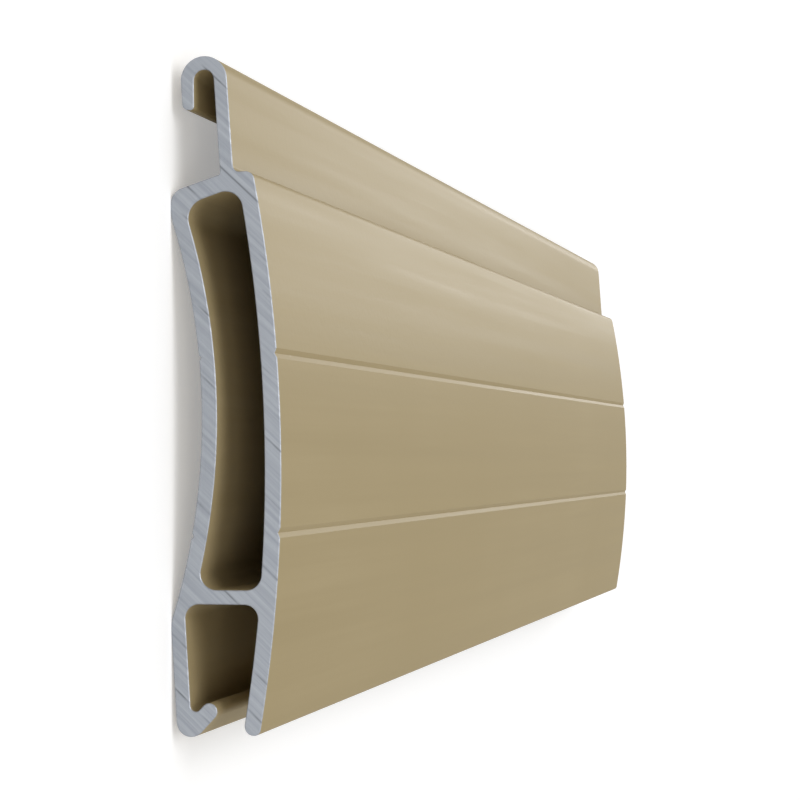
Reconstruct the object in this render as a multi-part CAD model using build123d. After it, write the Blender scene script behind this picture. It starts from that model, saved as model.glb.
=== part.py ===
from build123d import *
from math import asin, cos, degrees, hypot, radians, sin, tan
import os

# A cut length of extruded slat for a roller door, all one piece of aluminium.
# The section is drawn with heights from the foot of the front leg towards the hook, and depths
# from the two lands on its back, which it lies on, to the crown of its front face.

# The slat as a whole, mm
length = 200.0             # along the extrusion, saw cut square at both ends
cover_height = 44.0        # from the foot to the step where the next slat sits
thickness = 9.0            # from the lands to the crown of the front face

# Front face
front_rise = 2.25          # crown above the front edge of the step
crown_offset = 1.2         # crown below the middle of the cover height
front_wall = 1.34

# Back face, a shallow hollow between two lands
hollow_depth = 2.53
upper_land = 1.9
lower_land = 0.8
land_below_web = 2.15      # lower end of the lower land, under the web
back_wall = 1.25
hollow_blend = 3.0         # soft edge between the hollow and each land
heel_blend = 2.0           # soft edge between the lower land and the back leg

# Web between the closed chamber and the open channel
web_height = 10.15         # underside above the foot
web_wall = 1.12

# Shoulder, which slopes down from the neck to the back
shoulder_drop = 1.47       # back corner below the step
shoulder_wall = 1.35
step_width = 1.6           # front edge of the step to the neck
step_radius = 0.75
shoulder_radius = 1.25

# Neck and hook
neck_wall = 1.08
neck_lean = 3.9            # degrees, towards the back
hook_rise = 7.4            # step to the centre of the bend, along the neck
slot_radius = 0.82         # inside the bend
hook_reach = 2.25          # straight stretch of the return arm
tip_wall = 0.93            # the return arm tapers to this
tip_radius = 0.55          # outer corner of the return arm's tip
tip_inner_radius = 0.3
neck_front_fillet = 0.5
neck_back_fillet = 0.2

# Back leg and the lip that the hook of the next slat catches
leg_wall = 1.2
leg_lean = 3.4             # degrees, inwards on the way down
lip_wall = 1.3
lip_angle = 47.0           # degrees, rise of the lip towards the front
lip_end_height = 1.8       # centre of the lip's round end
lip_end_depth = 3.1
lip_heel_radius = 1.18
lip_valley_radius = 0.45

# Foot of the front leg
foot_inner_radius = 0.72
foot_outer_radius = 0.5

# Inside corners
chamber_floor_radius = 1.3
chamber_back_radius = 1.6
chamber_front_radius = 1.45
channel_radius = 1.1
edge_flat = 0.05           # flat kept between two roundings of one edge

# Sight lines on the front face, and the nicks behind them
line_spacing = 14.0
line_offset = 0.75         # middle of the pair above the middle of the cover height
groove_width = 0.8
groove_depth = 0.18
nick_drop = 0.3            # nicks lower than the grooves
nick_width = 0.5
nick_depth = 0.16

# Worked out from the sizes above
step_edge_depth = thickness - front_rise
crown_height = cover_height / 2 - crown_offset
front_half_chord = cover_height - crown_height
front_radius = (front_half_chord**2 + front_rise**2) / (2 * front_rise)
front_centre = (crown_height, thickness - front_radius)

shoulder_height = cover_height - shoulder_drop
land_height = web_height - land_below_web
hollow_bottom = land_height + lower_land
hollow_top = shoulder_height - upper_land
hollow_half_chord = (hollow_top - hollow_bottom) / 2
hollow_radius = (hollow_half_chord**2 + hollow_depth**2) / (2 * hollow_depth)
hollow_centre = ((hollow_top + hollow_bottom) / 2, hollow_depth - hollow_radius)

neck_depth = step_edge_depth - step_width - neck_wall / 2
shoulder_slope = degrees(asin(shoulder_drop / hypot(shoulder_drop, neck_depth)))
web_top = web_height + web_wall
beyond = 3 * thickness     # clear of every face


def polygon(*points):
    """A flat face with the given corners, each a height and a depth."""
    return make_face(Polyline(*points, close=True))


def disc(centre, radius):
    return Pos(*centre) * Circle(radius)


def leg_depth(height, inset):
    """Depth of the back leg's outer face, or of a face that lies inset inside it."""
    lean = radians(leg_lean)
    return (land_height - height) * tan(lean) + inset / cos(lean)


def lip_side(offset):
    """The end of the lip's upper or lower face, and where that face would meet the back leg."""
    lift = radians(lip_angle)
    end = (lip_end_height + offset * cos(lift), lip_end_depth - offset * sin(lift))
    wall = leg_wall if offset > 0 else 0
    lean = tan(radians(leg_lean))
    gap = end[1] - leg_depth(end[0], wall)
    run = gap / (cos(lift) + lean * sin(lift))
    root = (end[0] - run * sin(lift), end[1] - run * cos(lift))
    return end, root


def rounded(section, height, depth, radius):
    """The section with its corner nearest to the given place rounded off."""
    corner = section.vertices().sort_by_distance((height, depth, 0))[0]
    return fillet(corner, radius)


def limited(radius, other, wall):
    """The radius, or less where a thin wall has to leave room for the rounding beside it."""
    return min(radius, wall - other - edge_flat)


def outline():
    """The slat without its hook, filled solid, with the front leg and lip closed in."""
    lip_low, heel = lip_side(-lip_wall / 2)
    blank = polygon(
        (0, beyond),
        (cover_height, beyond),
        (cover_height, neck_depth),
        (shoulder_height, 0),
        (land_height, 0),
        heel,
        lip_low,
        (0, lip_low[1]),
    )
    blank &= disc(front_centre, front_radius)
    return blank - disc(hollow_centre, hollow_radius)


def chamber():
    """The closed chamber between the web and the shoulder."""
    fall = tan(radians(shoulder_slope))
    ceiling = shoulder_height - shoulder_wall / cos(radians(shoulder_slope))
    space = polygon(
        (web_top, -beyond),
        (web_top, beyond),
        (ceiling + beyond * fall, beyond),
        (ceiling - beyond * fall, -beyond),
    )
    space &= disc(front_centre, front_radius - front_wall)
    space -= disc(hollow_centre, hollow_radius + back_wall)
    upper_front = (ceiling + step_edge_depth * fall, step_edge_depth - front_wall)
    space = rounded(space, *upper_front, chamber_front_radius)
    space = rounded(space, ceiling, back_wall, chamber_back_radius)
    space = rounded(space, web_top, thickness, chamber_floor_radius)
    return rounded(space, web_top, 0, chamber_floor_radius)


def channel():
    """The open channel under the web, with the lip left standing in its mouth."""
    lip_low = lip_side(-lip_wall / 2)[0]
    lip_high, valley = lip_side(lip_wall / 2)
    back_top = (web_height, leg_depth(web_height, leg_wall))
    space = polygon(
        back_top,
        (web_height, beyond),
        (-beyond, beyond),
        (-beyond, lip_low[1]),
        lip_low,
        lip_high,
        valley,
    )
    space &= disc(front_centre, front_radius - front_wall)
    space = rounded(space, web_height, step_edge_depth, channel_radius)
    space = rounded(space, *back_top, channel_radius)
    space = rounded(space, *valley, lip_valley_radius)
    return space - disc((lip_end_height, lip_end_depth), lip_wall / 2)


def hook():
    """The neck, bent over at its top into a hook that opens towards the foot."""
    bend = slot_radius + neck_wall / 2
    outside = -2 * bend - neck_wall / 2
    neck = Line((-shoulder_wall / 2, 0), (hook_rise, 0))
    crook = CenterArc((hook_rise, -bend), bend, 90, -180)
    outer_corner = (hook_rise - hook_reach, outside)
    inner_corner = (hook_rise - hook_reach, outside + tip_wall)
    arm = polygon(
        (hook_rise, outside),
        outer_corner,
        inner_corner,
        (hook_rise, outside + neck_wall),
    )
    strip = trace(neck + crook, neck_wall) + arm
    strip = rounded(strip, *outer_corner, limited(tip_radius, tip_inner_radius, tip_wall))
    strip = rounded(strip, *inner_corner, tip_inner_radius)
    return Pos(cover_height, neck_depth) * Rot(0, 0, -neck_lean) * strip


def vee(centre, radius, height, width, depth):
    """A V-shaped cutter that reaches into the wall inside an arc, at the given height."""
    turn = asin((height - centre[0]) / radius)
    surface = (height, centre[1] + radius * cos(turn))
    cutter = polygon((-width, depth), (width, depth), (0, -depth))
    return Pos(*surface) * Rot(0, 0, -degrees(turn)) * cutter


def sight_lines():
    """Cutters for the two grooves in the front face and the two nicks behind them."""
    middle = cover_height / 2 + line_offset
    cutters = []
    for height in (middle - line_spacing / 2, middle + line_spacing / 2):
        cutters.append(vee(front_centre, front_radius, height, groove_width, groove_depth))
        nick = vee(hollow_centre, hollow_radius, height - nick_drop, nick_width, -nick_depth)
        cutters.append(nick)
    return cutters


def slat_section():
    """The whole section of the extrusion."""
    heel = lip_side(-lip_wall / 2)[1]
    section = outline() - channel() - chamber()
    section = rounded(section, *heel, lip_heel_radius)
    section = rounded(section, 0, step_edge_depth, foot_outer_radius)
    foot_radius = limited(foot_inner_radius, foot_outer_radius, front_wall)
    section = rounded(section, 0, step_edge_depth - front_wall, foot_radius)
    section = rounded(section, cover_height, step_edge_depth, step_radius)
    section = rounded(section, shoulder_height, 0, shoulder_radius)
    section = rounded(section, hollow_top, 0, hollow_blend)
    section = rounded(section, hollow_bottom, 0, hollow_blend)
    section = rounded(section, land_height, 0, heel_blend)
    section += hook()
    neck_front = (cover_height, neck_depth + neck_wall / 2)
    neck_back = (cover_height, neck_depth - neck_wall / 2)
    section = rounded(section, *neck_front, neck_front_fillet)
    section = rounded(section, *neck_back, neck_back_fillet)
    for cutter in sight_lines():
        section -= cutter
    return section


# The section stands across the length, and the slat is centred over the ground it covers.
slat = extrude(Plane.YZ * slat_section(), length / 2, both=True)
slat = Pos(0, -slat.bounding_box().center().Y, 0) * slat
slat.label = "slat"

os.makedirs("parts", exist_ok=True)
export_step(slat, "parts/slat.step")
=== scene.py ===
from collections import namedtuple
from math import asin, atan2, ceil, cos, pi, radians, sin

import bmesh
import bpy
from mathutils import Matrix, Vector


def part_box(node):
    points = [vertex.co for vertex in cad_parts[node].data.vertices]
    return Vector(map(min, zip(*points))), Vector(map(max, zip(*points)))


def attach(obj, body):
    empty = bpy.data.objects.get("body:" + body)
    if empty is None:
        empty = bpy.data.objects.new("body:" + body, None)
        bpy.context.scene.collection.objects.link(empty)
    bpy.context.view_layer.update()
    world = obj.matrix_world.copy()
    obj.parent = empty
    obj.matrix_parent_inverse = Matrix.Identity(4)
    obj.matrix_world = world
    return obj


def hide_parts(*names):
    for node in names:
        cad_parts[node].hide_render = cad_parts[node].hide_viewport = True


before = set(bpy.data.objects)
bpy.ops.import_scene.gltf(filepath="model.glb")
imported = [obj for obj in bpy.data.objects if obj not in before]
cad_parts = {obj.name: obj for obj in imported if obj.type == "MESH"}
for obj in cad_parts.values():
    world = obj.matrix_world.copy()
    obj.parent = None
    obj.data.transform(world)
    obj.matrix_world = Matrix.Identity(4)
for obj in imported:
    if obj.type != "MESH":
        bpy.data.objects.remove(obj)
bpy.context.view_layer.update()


# Back wall
# The slat is one piece of aluminium, pushed hot through a die, so its section is the same all along.
# Its back is a shallow hollow between two narrow lands, which a slat in the curtain rolls up on.
# The section is drawn in millimetres, as heights above the foot and depths above the lands. A path
# goes round the metal with the metal on its left, and each stretch ends at a corner with a radius.

COVER_HEIGHT = 44.0
SHOULDER_HEIGHT = COVER_HEIGHT - 1.47
WEB_HEIGHT = 10.15
LAND_HEIGHT = WEB_HEIGHT - 2.15
HOLLOW_BOTTOM = LAND_HEIGHT + 0.8
HOLLOW_TOP = SHOULDER_HEIGHT - 1.9
HOLLOW_DEPTH = 2.53
HOLLOW_BLEND = 3.0
HEEL_BLEND = 2.0
LEG_LEAN = radians(3.4)
SIGHT_LINES = (COVER_HEIGHT / 2 - 6.25, COVER_HEIGHT / 2 + 7.75)
NICK_DROP = 0.3
NICK_WIDTH = 0.5
NICK_DEPTH = 0.16
NICK_EDGE = 0.05           # radius that the die and the coat leave on a sharp edge

Straight = namedtuple("Straight", "start heading")
Round = namedtuple("Round", "centre radius turn")        # turn is 1 anticlockwise, -1 clockwise
Stretch = namedtuple("Stretch", "face corner radius")


def spot(height, depth):
    return Vector((height, depth))


def through(start, end):
    return Straight(start, (end - start).normalized())


def left_of(heading):
    return Vector((-heading.y, heading.x))


def chord_radius(half_chord, rise):
    return (half_chord**2 + rise**2) / (2 * rise)


def cut_vee(path, face, height, width, depth, edge):
    """A V cut across the path, into a round face, with its two edges softened."""
    around = asin((height - face.centre.x) / face.radius)
    outward = spot(sin(around), cos(around))
    heading = left_of(outward) * face.turn
    middle = face.centre + outward * face.radius
    start = middle - heading * width / 2
    bottom = middle + left_of(heading) * depth
    end = middle + heading * width / 2
    path.append(Stretch(face, start, edge))
    path.append(Stretch(through(start, bottom), bottom, 0))
    path.append(Stretch(through(bottom, end), end, edge))


hollow_radius = chord_radius((HOLLOW_TOP - HOLLOW_BOTTOM) / 2, HOLLOW_DEPTH)
hollow_centre = spot((HOLLOW_TOP + HOLLOW_BOTTOM) / 2, HOLLOW_DEPTH - hollow_radius)
hollow = Round(hollow_centre, hollow_radius, -1)
lower_corner = spot(LAND_HEIGHT, 0)
leg_outer = Straight(lower_corner, spot(cos(LEG_LEAN), -sin(LEG_LEAN)))
level = Straight(lower_corner, spot(1, 0))

outside = [
    Stretch(leg_outer, lower_corner, HEEL_BLEND),
    Stretch(level, spot(HOLLOW_BOTTOM, 0), HOLLOW_BLEND),
]
for sight_line in SIGHT_LINES:
    cut_vee(outside, hollow, sight_line - NICK_DROP, NICK_WIDTH, NICK_DEPTH, NICK_EDGE)
outside.append(Stretch(hollow, spot(HOLLOW_TOP, 0), HOLLOW_BLEND))


# Shoulder, neck and hook
# The shoulder climbs from the back to a thin neck, which leans back a little and is bent over at its
# top. The hook so made drops into the channel of the slat above and holds the whole curtain below it.

THICKNESS = 9.0
FRONT_RISE = 2.25
STEP_DEPTH = THICKNESS - FRONT_RISE
NECK_WALL = 1.08
NECK_DEPTH = STEP_DEPTH - 1.6 - NECK_WALL / 2
NECK_LEAN = radians(3.9)
NECK_BACK_FILLET = 0.2
NECK_FRONT_FILLET = 0.5
SHOULDER_RADIUS = 1.25
HOOK_RISE = 7.4
SLOT_RADIUS = 0.82
HOOK_REACH = 2.25
TIP_WALL = 0.93
TIP_RADIUS = 0.55
TIP_INNER_RADIUS = 0.3

neck_root = spot(COVER_HEIGHT, NECK_DEPTH)
up_neck = spot(cos(NECK_LEAN), -sin(NECK_LEAN))
to_front = left_of(up_neck)
hook_radius = SLOT_RADIUS + NECK_WALL
hook_centre = neck_root + up_neck * HOOK_RISE - to_front * (SLOT_RADIUS + NECK_WALL / 2)
shoulder_corner = spot(SHOULDER_HEIGHT, 0)
neck_back = neck_root - to_front * NECK_WALL / 2
neck_front = neck_root + to_front * NECK_WALL / 2
slot_end = hook_centre - to_front * SLOT_RADIUS
arm_end = hook_centre - to_front * hook_radius
tip_outer = arm_end - up_neck * HOOK_REACH
tip_inner = tip_outer + to_front * TIP_WALL

outside += [
    Stretch(level, shoulder_corner, SHOULDER_RADIUS),
    Stretch(through(shoulder_corner, neck_root), neck_back, NECK_BACK_FILLET),
    Stretch(Straight(neck_back, up_neck), hook_centre + to_front * SLOT_RADIUS, 0),
    Stretch(Round(hook_centre, SLOT_RADIUS, -1), slot_end, 0),
    Stretch(through(slot_end, tip_inner), tip_inner, TIP_INNER_RADIUS),
    Stretch(through(tip_inner, tip_outer), tip_outer, TIP_RADIUS),
    Stretch(through(tip_outer, arm_end), arm_end, 0),
    Stretch(Round(hook_centre, hook_radius, 1), hook_centre + to_front * hook_radius, 0),
    Stretch(Straight(neck_front, -up_neck), neck_front, NECK_FRONT_FILLET),
]


# Front wall
# The face that the street sees is a long gentle curve from the step under the neck to the foot.
# Two fine grooves, the sight lines, are drawn into it by the die and split it into three bands.

CROWN_HEIGHT = COVER_HEIGHT / 2 - 1.2
FRONT_WALL = 1.34
STEP_RADIUS = 0.75
FOOT_OUTER_RADIUS = 0.5
FOOT_INNER_RADIUS = 0.72
GROOVE_WIDTH = 0.8
GROOVE_DEPTH = 0.18
GROOVE_EDGE = 0.09

front_radius = chord_radius(COVER_HEIGHT - CROWN_HEIGHT, FRONT_RISE)
front_centre = spot(CROWN_HEIGHT, THICKNESS - front_radius)
front = Round(front_centre, front_radius, 1)
front_inside = Round(front_centre, front_radius - FRONT_WALL, -1)
foot_depth = front_centre.y + (front_radius**2 - CROWN_HEIGHT**2)**0.5

outside.append(Stretch(Straight(neck_root, spot(0, 1)), spot(COVER_HEIGHT, STEP_DEPTH), STEP_RADIUS))
for sight_line in reversed(SIGHT_LINES):
    cut_vee(outside, front, sight_line, GROOVE_WIDTH, GROOVE_DEPTH, GROOVE_EDGE)
outside += [
    Stretch(front, spot(0, foot_depth), FOOT_OUTER_RADIUS),
    Stretch(Straight(spot(0, 0), spot(0, -1)), spot(0, foot_depth - FRONT_WALL), FOOT_INNER_RADIUS),
]


# Channel, back leg and lip
# Under the web the section opens into a channel. The back leg stops short and turns up into a lip
# with a round end, and the hook of the slat below catches on it when the curtain is drawn up.

LEG_WALL = 1.2
LIP_WALL = 1.3
LIP_LIFT = radians(47.0)
LIP_END = spot(1.8, 3.1)
LIP_HEEL_RADIUS = 1.18
LIP_VALLEY_RADIUS = 0.45
CHANNEL_RADIUS = 1.1

along_lip = spot(sin(LIP_LIFT), cos(LIP_LIFT))
lip_upper = LIP_END - left_of(along_lip) * LIP_WALL / 2
lip_lower = LIP_END + left_of(along_lip) * LIP_WALL / 2
leg_inner = Straight(
    lower_corner + left_of(leg_outer.heading) * LEG_WALL,
    -leg_outer.heading,
)

outside += [
    Stretch(front_inside, spot(WEB_HEIGHT, STEP_DEPTH), CHANNEL_RADIUS),
    Stretch(Straight(spot(WEB_HEIGHT, 0), spot(0, -1)), spot(WEB_HEIGHT, LEG_WALL), CHANNEL_RADIUS),
    Stretch(leg_inner, spot(0, LEG_WALL), LIP_VALLEY_RADIUS),
    Stretch(Straight(lip_upper, along_lip), lip_upper, 0),
    Stretch(Round(LIP_END, LIP_WALL / 2, 1), lip_lower, 0),
    Stretch(Straight(lip_lower, -along_lip), spot(-1.9, 0.6), LIP_HEEL_RADIUS),
]


# Closed chamber
# Between the web and the shoulder the two walls close a chamber, which makes the slat stiff for
# its weight. End locks are pushed into it, and a mandrel in the die leaves it with round corners.

WEB_WALL = 1.12
BACK_WALL = 1.25
SHOULDER_WALL = 1.35
CHAMBER_FLOOR_RADIUS = 1.3
CHAMBER_FRONT_RADIUS = 1.45
CHAMBER_BACK_RADIUS = 1.6

web_top = WEB_HEIGHT + WEB_WALL
up_shoulder = (neck_root - shoulder_corner).normalized()
ceiling_start = shoulder_corner + left_of(up_shoulder) * SHOULDER_WALL

chamber = [
    Stretch(Straight(spot(web_top, 0), spot(0, 1)), spot(web_top, STEP_DEPTH), CHAMBER_FLOOR_RADIUS),
    Stretch(front_inside, spot(SHOULDER_HEIGHT, STEP_DEPTH - FRONT_WALL), CHAMBER_FRONT_RADIUS),
    Stretch(Straight(ceiling_start, -up_shoulder), spot(HOLLOW_TOP, BACK_WALL), CHAMBER_BACK_RADIUS),
    Stretch(Round(hollow_centre, hollow_radius + BACK_WALL, 1), spot(web_top, 2), CHAMBER_FLOOR_RADIUS),
]


# Cut length
# The extrusion is sawn off square at both ends, and a file takes the burr off each sawn edge.
# Its section is drawn with a pen at the near end, filled, and pulled out to the length of the slat.

MM = 0.001
STEP_ANGLE = radians(6)    # of a small corner
STEP_LENGTH = 1.2          # of a long curve
FILED_EDGE = 0.07
SHARP = radians(28)

lowest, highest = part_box("slat")
slat_length = (highest.x - lowest.x) / MM


def clearance(face, place):
    """How far a place lies to the left of a face, and which way that is."""
    if isinstance(face, Straight):
        left = left_of(face.heading)
        return left.dot(place - face.start), left
    away = place - face.centre
    return face.turn * (face.radius - away.length), away.normalized() * -face.turn


def meeting(face, face_after, place, gap=0.0):
    """The place near the given one that lies that far to the left of both faces."""
    for _ in range(8):
        near, left = clearance(face, place)
        near_after, left_after = clearance(face_after, place)
        step = Matrix((left, left_after)).inverted() @ Vector((gap - near, gap - near_after))
        place = place + step
    return place


def heading_at(face, place):
    return -left_of(clearance(face, place)[1])


def rounding(stretch, face_after):
    """The round face at the end of a stretch, and the places where it starts and ends."""
    corner = meeting(stretch.face, face_after, stretch.corner)
    turns_left = heading_at(stretch.face, corner).cross(heading_at(face_after, corner)) > 0
    turn = 1 if turns_left else -1
    centre = meeting(stretch.face, face_after, corner, turn * stretch.radius)
    start = centre - clearance(stretch.face, centre)[1] * turn * stretch.radius
    end = centre - clearance(face_after, centre)[1] * turn * stretch.radius
    return Round(centre, stretch.radius, turn), start, end


def follow(pen, face, end):
    """Pulls the pen along a face to its end, and leaves an edge or a curve of edges behind it."""
    if isinstance(face, Straight):
        pulled = bmesh.ops.extrude_vert_indiv(section, verts=[pen])["verts"][0]
        pulled.co = (0, *end)
        return pulled
    before, after = Vector(pen.co.yz) - face.centre, end - face.centre
    sweep = face.turn * (atan2(after.y, after.x) - atan2(before.y, before.x)) % (2 * pi)
    steps = max(ceil(sweep / STEP_ANGLE), ceil(sweep * face.radius / STEP_LENGTH))
    if face.radius > COVER_HEIGHT:
        steps = ceil(sweep * face.radius / STEP_LENGTH)
    swung = bmesh.ops.spin(
        section, geom=[pen], cent=(0, *face.centre), axis=(1, 0, 0),
        angle=sweep * face.turn, steps=steps, use_duplicate=False,
    )
    return swung["geom_last"][0]


def draw(path):
    """Draws a closed path, with its corners rounded, from the end of its last corner."""
    corners = []
    for stretch, stretch_after in zip(path, path[1:] + path[:1]):
        if stretch.radius:
            corners.append(rounding(stretch, stretch_after.face))
        else:
            corners.append((None, stretch.corner, stretch.corner))
    pen = bmesh.ops.create_vert(section, co=(0, *corners[-1][2]))["vert"][0]
    for stretch, (round_face, start, end) in zip(path, corners):
        pen = follow(pen, stretch.face, start)
        if round_face:
            pen = follow(pen, round_face, end)


section = bmesh.new()
draw(outside)
draw(chamber)
bmesh.ops.remove_doubles(section, verts=section.verts, dist=1e-4)
filled = bmesh.ops.triangle_fill(section, edges=section.edges, use_beauty=True)
near_end = [part for part in filled["geom"] if isinstance(part, bmesh.types.BMFace)]
pulled = bmesh.ops.extrude_face_region(section, geom=near_end, use_keep_orig=True)["geom"]
far_corners = [part for part in pulled if isinstance(part, bmesh.types.BMVert)]
bmesh.ops.translate(section, verts=far_corners, vec=(slat_length - 2 * FILED_EDGE, 0, 0))
bmesh.ops.recalc_face_normals(section, faces=section.faces)
ends = [face for face in section.faces if abs(face.normal.x) > 0.5]
for face in ends:
    face.material_index = 1
filed = bmesh.ops.inset_region(
    section, faces=ends, thickness=FILED_EDGE, depth=FILED_EDGE,
    use_even_offset=True, use_boundary=True,
)["faces"]
for face in filed:
    face.material_index = 1
for face in section.faces:
    face.smooth = True
for edge in section.edges:
    edge.smooth = edge.calc_face_angle(pi) < SHARP
lowest_drawn = min(corner.co.y for corner in section.verts)
bmesh.ops.translate(
    section, verts=section.verts,
    vec=(lowest.x / MM + FILED_EDGE, lowest.y / MM - lowest_drawn, lowest.z / MM),
)
bmesh.ops.scale(section, verts=section.verts, vec=(MM, MM, MM))
slat_mesh = bpy.data.meshes.new("extruded_slat")
section.to_mesh(slat_mesh)
section.free()
slat = bpy.data.objects.new("extruded_slat", slat_mesh)
bpy.context.collection.objects.link(slat)
even_shading = slat.modifiers.new("even_shading", "WEIGHTED_NORMAL")
even_shading.keep_sharp = True
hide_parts("slat")
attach(slat, "root")


# Powder coat
# Satin beige powder is sprayed on and baked over the whole extrusion, inside and out, before it is
# sawn. It keeps a trace of the die's long draw lines, and has a fine grain of its own.

DIE_LINES_PER_METRE = 420
GRAIN_PER_METRE = 1500


def add_node(tree, kind, inputs=(), **settings):
    """A new node, with its settings made, and its inputs joined to sockets or given values."""
    made = tree.nodes.new(kind)
    for name, value in settings.items():
        setattr(made, name, value)
    for name, value in dict(inputs).items():
        if isinstance(value, bpy.types.NodeSocket):
            tree.links.new(value, made.inputs[name])
        else:
            made.inputs[name].default_value = value
    return made


def add_material(name):
    """A new material, its tree and its shader."""
    material = bpy.data.materials.new(name)
    material.use_nodes = True
    return material, material.node_tree, material.node_tree.nodes["Principled BSDF"]


# Fine parallel lines, for the draw lines of the die and for the teeth of the saw. They run along the X
# of the vector given.
fine_lines = bpy.data.node_groups.new("fine_lines", "ShaderNodeTree")
fine_lines.interface.new_socket("Vector", in_out="INPUT", socket_type="NodeSocketVector")
fine_lines.interface.new_socket("Per metre", in_out="INPUT", socket_type="NodeSocketFloat")
fine_lines.interface.new_socket("Lines", in_out="OUTPUT", socket_type="NodeSocketFloat")
given = fine_lines.nodes.new("NodeGroupInput")
drawn_out = add_node(fine_lines, "ShaderNodeVectorMath", {0: given.outputs["Vector"], 1: (0.02, 1, 1)},
                     operation="MULTIPLY")
uneven = add_node(fine_lines, "ShaderNodeTexNoise", {
    "Vector": drawn_out.outputs[0], "Scale": given.outputs["Per metre"], "Detail": 3.0, "Roughness": 0.6,
})
spread = add_node(fine_lines, "ShaderNodeMapRange", {
    "Value": uneven.outputs[0], "From Min": 0.32, "From Max": 0.68,
})
taken = fine_lines.nodes.new("NodeGroupOutput")
fine_lines.links.new(spread.outputs[0], taken.inputs["Lines"])

coat, tree, shader = add_material("beige_powder_coat")
place = tree.nodes.new("ShaderNodeTexCoord").outputs["Object"]
die_lines = add_node(tree, "ShaderNodeGroup", node_tree=fine_lines)
tree.links.new(place, die_lines.inputs["Vector"])
die_lines.inputs["Per metre"].default_value = DIE_LINES_PER_METRE
clouds = add_node(tree, "ShaderNodeTexNoise", {"Vector": place, "Scale": 28.0, "Detail": 2.0})
mottle = add_node(tree, "ShaderNodeMath", {0: die_lines.outputs[0], 1: clouds.outputs[0]},
                  operation="MULTIPLY")
beige = add_node(tree, "ShaderNodeMix", {
    "Factor": mottle.outputs[0], 6: (0.355, 0.282, 0.152, 1), 7: (0.400, 0.322, 0.185, 1),
}, data_type="RGBA")
satin = add_node(tree, "ShaderNodeMapRange", {
    "Value": die_lines.outputs[0], "To Min": 0.40, "To Max": 0.47,
})
grain = add_node(tree, "ShaderNodeTexNoise", {"Vector": place, "Scale": GRAIN_PER_METRE, "Detail": 2.0})
relief = add_node(tree, "ShaderNodeMath", {0: die_lines.outputs[0], 1: 0.35, 2: grain.outputs[0]},
                  operation="MULTIPLY_ADD")
bump = add_node(tree, "ShaderNodeBump", {
    "Height": relief.outputs[0], "Strength": 0.12, "Distance": 0.0001,
})
tree.links.new(beige.outputs[2], shader.inputs["Base Color"])
tree.links.new(satin.outputs[0], shader.inputs["Roughness"])
tree.links.new(bump.outputs[0], shader.inputs["Normal"])
shader.inputs["Specular IOR Level"].default_value = 0.01
slat_mesh.materials.append(coat)


# Saw-cut ends
# The saw leaves bare aluminium at both ends, with the slanting marks of its teeth: fine bright ones
# all over, and now and then a deeper and darker one that runs right across both walls.

SAW_SLANT = radians(47)
SAW_LINES_PER_METRE = 2600
DEEP_LINES_PER_METRE = 300
DEEP_LINE_WIDTH = 0.035    # as a share of the space between two of them

bare, tree, shader = add_material("saw_cut_aluminium")
place = tree.nodes.new("ShaderNodeTexCoord").outputs["Object"]
along_cut = add_node(tree, "ShaderNodeVectorMath", {0: place, 1: (0, -cos(SAW_SLANT), sin(SAW_SLANT))},
                     operation="DOT_PRODUCT")
across_cut = add_node(tree, "ShaderNodeVectorMath", {0: place, 1: (0, sin(SAW_SLANT), cos(SAW_SLANT))},
                      operation="DOT_PRODUCT")
on_cut = add_node(tree, "ShaderNodeCombineXYZ", {
    "X": along_cut.outputs["Value"], "Y": across_cut.outputs["Value"],
})
saw_lines = add_node(tree, "ShaderNodeGroup", node_tree=fine_lines)
tree.links.new(on_cut.outputs[0], saw_lines.inputs["Vector"])
saw_lines.inputs["Per metre"].default_value = SAW_LINES_PER_METRE
deep = add_node(tree, "ShaderNodeTexVoronoi", {
    "W": across_cut.outputs["Value"], "Scale": DEEP_LINES_PER_METRE,
}, voronoi_dimensions="1D", feature="DISTANCE_TO_EDGE")
deep_line = add_node(tree, "ShaderNodeMapRange", {
    "Value": deep.outputs["Distance"], "From Max": DEEP_LINE_WIDTH, "To Min": 1.0, "To Max": 0.0,
})
fading = add_node(tree, "ShaderNodeTexNoise", {"Vector": place, "Scale": 260.0})
fade = add_node(tree, "ShaderNodeMapRange", {
    "Value": fading.outputs[0], "From Min": 0.42, "From Max": 0.6,
})
scored = add_node(tree, "ShaderNodeMath", {0: deep_line.outputs[0], 1: fade.outputs[0]}, operation="MULTIPLY")
grey = add_node(tree, "ShaderNodeMix", {
    "Factor": saw_lines.outputs[0], 6: (0.266, 0.285, 0.318, 1), 7: (0.352, 0.374, 0.405, 1),
}, data_type="RGBA")
marked = add_node(tree, "ShaderNodeMix", {
    "Factor": scored.outputs[0], 6: grey.outputs[2], 7: (0.150, 0.160, 0.175, 1),
}, data_type="RGBA")
torn = add_node(tree, "ShaderNodeMath", {0: saw_lines.outputs[0], 1: scored.outputs[0]}, operation="SUBTRACT")
bump = add_node(tree, "ShaderNodeBump", {
    "Height": torn.outputs[0], "Strength": 0.25, "Distance": 0.00005,
})
rough = add_node(tree, "ShaderNodeMapRange", {
    "Value": saw_lines.outputs[0], "To Min": 0.52, "To Max": 0.40,
})
tree.links.new(marked.outputs[2], shader.inputs["Base Color"])
tree.links.new(rough.outputs[0], shader.inputs["Roughness"])
tree.links.new(bump.outputs[0], shader.inputs["Normal"])
shader.inputs["Metallic"].default_value = 0.6
slat_mesh.materials.append(bare)


# Floor and background
# The slat lies on its two lands on a plain pale floor. The floor and the background show white to the
# camera and in the slat's sheen, and the floor keeps the soft shadow under the slat.

FLOOR_SIZE = 6.0
FLOOR_ALBEDO = 0.8
FLOOR_LIFT = 0.32
SKY_STRENGTH = 0.5


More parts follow.
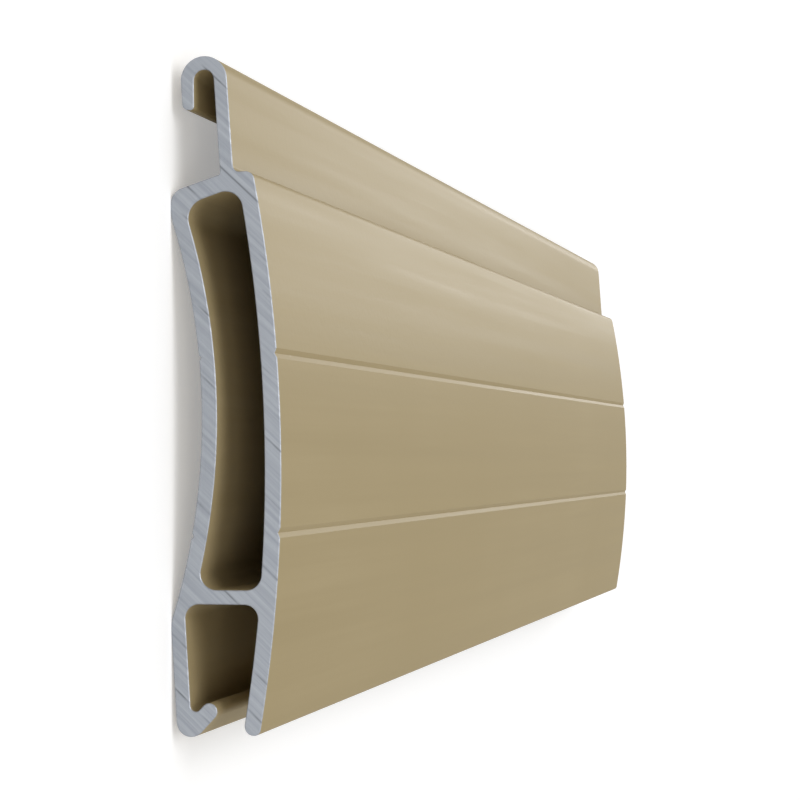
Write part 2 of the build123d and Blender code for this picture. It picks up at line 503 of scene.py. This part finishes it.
def seen_directly(tree):
    """1 for what the camera sees, itself or in a glossy or a clear surface, and 0 for light that falls."""
    path = tree.nodes.new("ShaderNodeLightPath").outputs
    mirrored = add_node(tree, "ShaderNodeMath", {
        0: path["Is Camera Ray"], 1: path["Is Glossy Ray"],
    }, operation="MAXIMUM")
    return add_node(tree, "ShaderNodeMath", {
        0: mirrored.outputs[0], 1: path["Is Transmission Ray"],
    }, operation="MAXIMUM").outputs[0]


floor_mesh = bpy.data.meshes.new("floor")
sheet = bmesh.new()
bmesh.ops.create_grid(sheet, x_segments=1, y_segments=1, size=FLOOR_SIZE / 2)
sheet.to_mesh(floor_mesh)
sheet.free()
floor = bpy.data.objects.new("floor", floor_mesh)
bpy.context.collection.objects.link(floor)
pale, tree, shader = add_material("pale_floor")
lift = add_node(tree, "ShaderNodeMath", {0: seen_directly(tree), 1: FLOOR_LIFT}, operation="MULTIPLY")
shader.inputs["Base Color"].default_value = (FLOOR_ALBEDO, FLOOR_ALBEDO, FLOOR_ALBEDO, 1)
shader.inputs["Roughness"].default_value = 1.0
shader.inputs["Specular IOR Level"].default_value = 0.0
shader.inputs["Emission Color"].default_value = (1, 1, 1, 1)
tree.links.new(lift.outputs[0], shader.inputs["Emission Strength"])
floor_mesh.materials.append(pale)

world = bpy.data.worlds.new("studio")
world.use_nodes = True
bpy.context.scene.world = world
tree = world.node_tree
sky = add_node(tree, "ShaderNodeMapRange", {"Value": seen_directly(tree), "To Min": SKY_STRENGTH})
tree.links.new(sky.outputs[0], tree.nodes["Background"].inputs["Strength"])
tree.nodes["Background"].inputs["Color"].default_value = (1, 1, 1, 1)


# Studio light
# One large soft box stands over the near end and lights the face and the cut. A second one, low behind
# the far end, lays the long soft sheen along the upper band and the neck.


def add_softbox(name, place, width, height, watts):
    lamp = bpy.data.lights.new(name, "AREA")
    lamp.shape = "RECTANGLE"
    lamp.size = width
    lamp.size_y = height
    lamp.energy = watts
    softbox = bpy.data.objects.new(name, lamp)
    softbox.location = place
    softbox.rotation_euler = (-Vector(place)).to_track_quat("-Z", "Y").to_euler()
    bpy.context.collection.objects.link(softbox)


add_softbox("key", (-0.9, 0.5, 1.9), 1.4, 1.4, 20.0)
add_softbox("fill", (-2.0, -0.6, 0.7), 1.2, 1.2, 13.0)
add_softbox("sheen", (1.9, 0.48, 0.46), 0.5, 0.3, 9.0)


# Camera
# It looks down on the face from beyond the near end, rolled so that the hook is at the top.

CAMERA_PLACE = Vector((-0.272013, -0.004817, 0.059107))
CAMERA_AIM = Vector((0.972971, 0.024393, -0.229636))
CAMERA_UP = Vector((-0.022777, 0.999694, 0.009686))
LENS = 103.66

camera_data = bpy.data.cameras.new("camera")
camera_data.lens = LENS
camera_data.sensor_width = 36.0
camera_data.clip_start = 0.01
camera = bpy.data.objects.new("camera", camera_data)
bpy.context.collection.objects.link(camera)
camera_right = CAMERA_AIM.cross(CAMERA_UP).normalized()
axes = Matrix((camera_right, camera_right.cross(CAMERA_AIM), -CAMERA_AIM)).transposed()
camera.matrix_world = Matrix.Translation(CAMERA_PLACE) @ axes.to_4x4()
bpy.context.scene.camera = camera
bpy.context.scene.view_settings.view_transform = "Standard"
